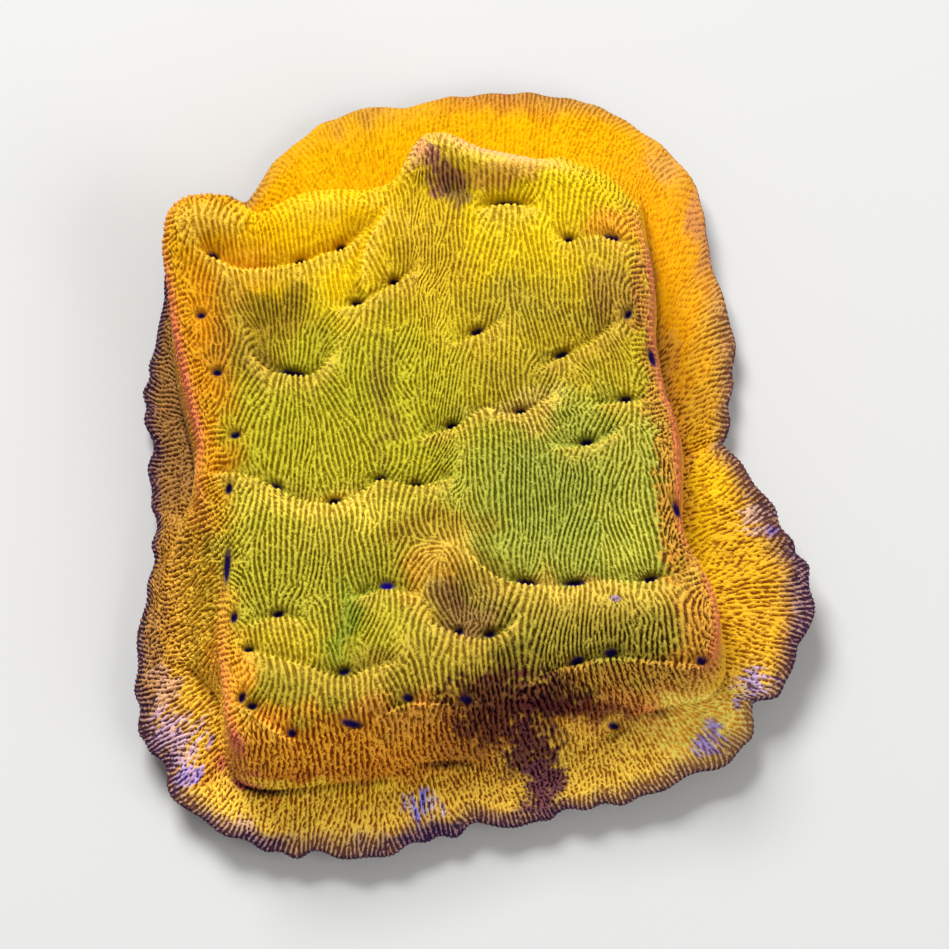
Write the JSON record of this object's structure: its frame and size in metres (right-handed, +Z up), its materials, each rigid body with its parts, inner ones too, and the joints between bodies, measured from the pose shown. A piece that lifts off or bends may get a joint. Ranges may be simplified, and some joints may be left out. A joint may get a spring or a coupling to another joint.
{
  "type": "leptoseris coral",
  "caption": "Encrusting coral colony on a cut rectangular fragment: a terraced slab with slit mouths and a thin scalloped skirt round its foot",
  "frame": {"origin": "on the flat cut face that the colony rests on, below the middle of the slab", "axes": "+Z up, out of the cut face; +Y towards the back, where the skirt is widest; +X to the right seen from the front"},
  "size_m": [0.0409, 0.0482, 0.0103],
  "materials": {
    "coral_tissue": "finely ridged, satin"
  },
  "bodies": {
    "root": {"coral": "coral_tissue"}
  },
  "joints": []
}
